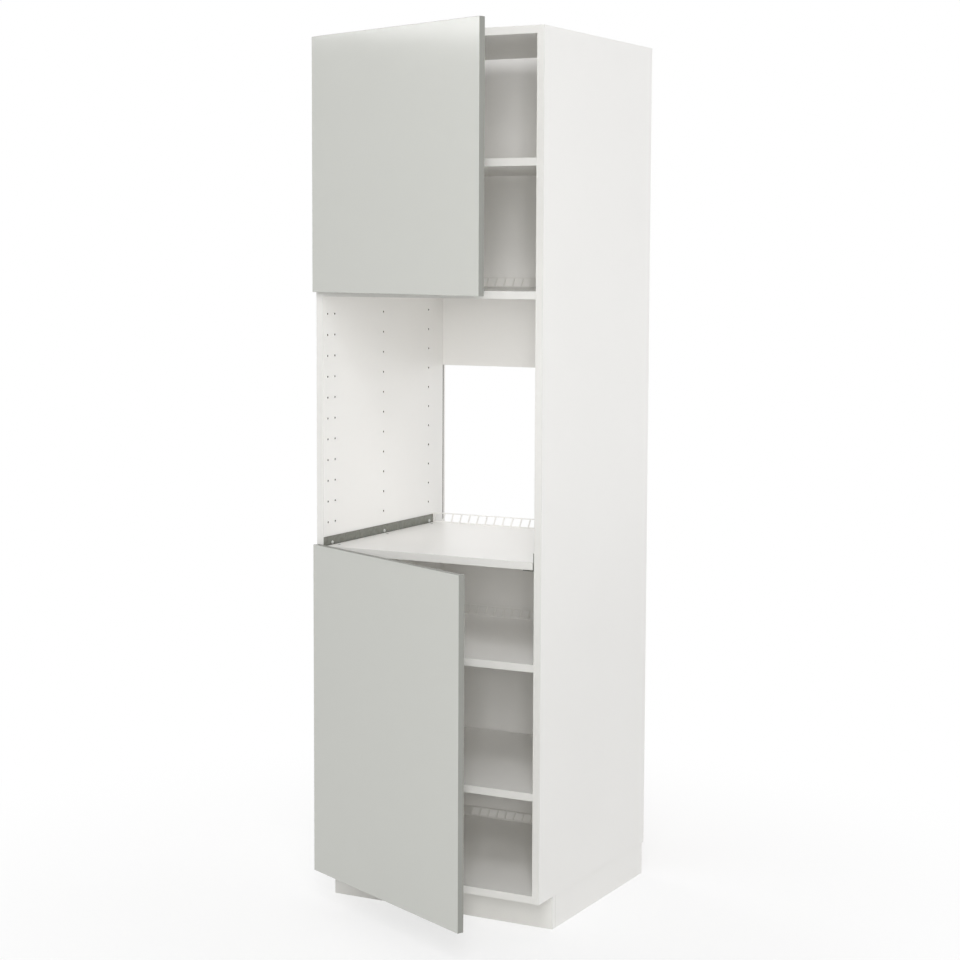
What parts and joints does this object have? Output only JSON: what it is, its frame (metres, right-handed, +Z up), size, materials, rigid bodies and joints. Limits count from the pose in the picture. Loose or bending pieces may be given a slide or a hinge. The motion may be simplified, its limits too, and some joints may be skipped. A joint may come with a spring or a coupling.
{
  "type": "kitchen cabinet",
  "caption": "Tall white kitchen cabinet for a built-in oven, with pale grey hinged doors on cupboards above and below an open bay, drilled sides, vented shelves and a plinth.",
  "frame": {"origin": "On the floor, in the middle of the plinth's front board", "axes": "X to the right seen from the front, Y to the back, Z up"},
  "size_m": [0.6008, 0.8739, 2.08],
  "materials": {
    "carcass_white": "white melamine on chipboard",
    "door_grey": "light grey matt foil on fibreboard",
    "back_white": "white painted hardboard",
    "plinth_white": "white foil on chipboard",
    "vent_white": "white moulded plastic",
    "rail_grey": "grey coated steel",
    "zinc_steel": "zinc plated steel",
    "dark_screw": "blackened steel",
    "hinge_nickel": "nickel plated steel",
    "leg_black": "black moulded plastic",
    "bumper_clear": "pale soft rubber"
  },
  "bodies": {
    "carcass": {"left_side_panel": "carcass_white", "right_side_panel": "carcass_white", "bottom_panel": "carcass_white", "divider_shelf": "carcass_white", "top_panel": "carcass_white", "cam_locks": "zinc_steel", "cam_bolts": "zinc_steel", "lower_shelf_low": "carcass_white", "lower_shelf_high": "carcass_white", "upper_shelf": "carcass_white", "shelf_pins": "zinc_steel", "left_oven_rail": "rail_grey", "right_oven_rail": "rail_grey", "rail_screws": "zinc_steel", "oven_shelf": "carcass_white", "oven_shelf_screws": "dark_screw", "upper_back_panel": "back_white", "lower_back_panel": "back_white", "bottom_vent_strip": "vent_white", "lower_shelf_vent_strip": "vent_white", "oven_shelf_vent_strip": "vent_white", "divider_vent_strip": "vent_white", "wall_brackets": "zinc_steel", "wall_bracket_screws": "zinc_steel", "leg_sockets": "leg_black", "leg_tubes": "leg_black", "leg_screws": "zinc_steel", "plinth_front": "plinth_white", "plinth_return": "plinth_white", "plinth_clips": "leg_black", "upper_hinge_arms": "hinge_nickel", "upper_arm_pins": "hinge_nickel", "upper_hinge_plates": "hinge_nickel", "upper_plate_screws": "hinge_nickel", "lower_hinge_arms": "hinge_nickel", "lower_arm_pins": "hinge_nickel", "lower_hinge_plates": "hinge_nickel", "lower_plate_screws": "hinge_nickel"},
    "upper_outer_links": {"upper_outer_links": "hinge_nickel"},
    "upper_inner_links": {"upper_inner_links": "hinge_nickel"},
    "upper_door": {"upper_door": "door_grey", "upper_door_bumpers": "bumper_clear", "upper_hinge_cups": "hinge_nickel", "upper_cup_screws": "hinge_nickel", "upper_cup_pins": "hinge_nickel"},
    "lower_outer_links": {"lower_outer_links": "hinge_nickel"},
    "lower_inner_links": {"lower_inner_links": "hinge_nickel"},
    "lower_door": {"lower_door": "door_grey", "lower_door_bumpers": "bumper_clear", "lower_hinge_cups": "hinge_nickel", "lower_cup_screws": "hinge_nickel", "lower_cup_pins": "hinge_nickel"},
    "front_left_foot": {"front_left_foot": "leg_black"},
    "rear_left_foot": {"rear_left_foot": "leg_black"},
    "front_right_foot": {"front_right_foot": "leg_black"},
    "rear_right_foot": {"rear_right_foot": "leg_black"}
  },
  "joints": [
    {"name": "upper_door_swing", "type": "hinge", "parent": "upper_outer_links", "child": "upper_door", "pos_m": [-0.28378, -0.09287, 0], "axis": [0, 0, -1], "range_deg": [-28.98, 104.02]},
    {"name": "upper_outer_link_turn", "type": "hinge", "parent": "carcass", "child": "upper_outer_links", "pos_m": [-0.26, -0.08044, 0], "axis": [0, 0, 1], "range_deg": [-8.29, 29.73]},
    {"name": "upper_inner_link_turn", "type": "hinge", "parent": "carcass", "child": "upper_inner_links", "pos_m": [-0.26586, -0.0945, 0], "axis": [0, 0, 1], "range_deg": [-7.69, 27.57]},
    {"name": "lower_door_swing", "type": "hinge", "parent": "lower_outer_links", "child": "lower_door", "pos_m": [-0.28333, -0.0937, 0], "axis": [0, 0, -1], "range_deg": [-35.98, 97.02]},
    {"name": "lower_outer_link_turn", "type": "hinge", "parent": "carcass", "child": "lower_outer_links", "pos_m": [-0.26, -0.08044, 0], "axis": [0, 0, 1], "range_deg": [-10.29, 27.73]},
    {"name": "lower_inner_link_turn", "type": "hinge", "parent": "carcass", "child": "lower_inner_links", "pos_m": [-0.26586, -0.0945, 0], "axis": [0, 0, 1], "range_deg": [-9.54, 25.72]},
    {"name": "front_left_foot_height", "type": "slide", "parent": "carcass", "child": "front_left_foot", "axis": [0, 0, -1], "range_m": [0, 0.015]},
    {"name": "rear_left_foot_height", "type": "slide", "parent": "carcass", "child": "rear_left_foot", "axis": [0, 0, -1], "range_m": [0, 0.015]},
    {"name": "front_right_foot_height", "type": "slide", "parent": "carcass", "child": "front_right_foot", "axis": [0, 0, -1], "range_m": [0, 0.015]},
    {"name": "rear_right_foot_height", "type": "slide", "parent": "carcass", "child": "rear_right_foot", "axis": [0, 0, -1], "range_m": [0, 0.015]}
  ],
  "couplings": [
    {"joint": "upper_outer_link_turn", "follows": "upper_door_swing", "ratio": 0.28571},
    {"joint": "upper_inner_link_turn", "follows": "upper_door_swing", "ratio": 0.265},
    {"joint": "lower_outer_link_turn", "follows": "lower_door_swing", "ratio": 0.28571},
    {"joint": "lower_inner_link_turn", "follows": "lower_door_swing", "ratio": 0.265}
  ]
}
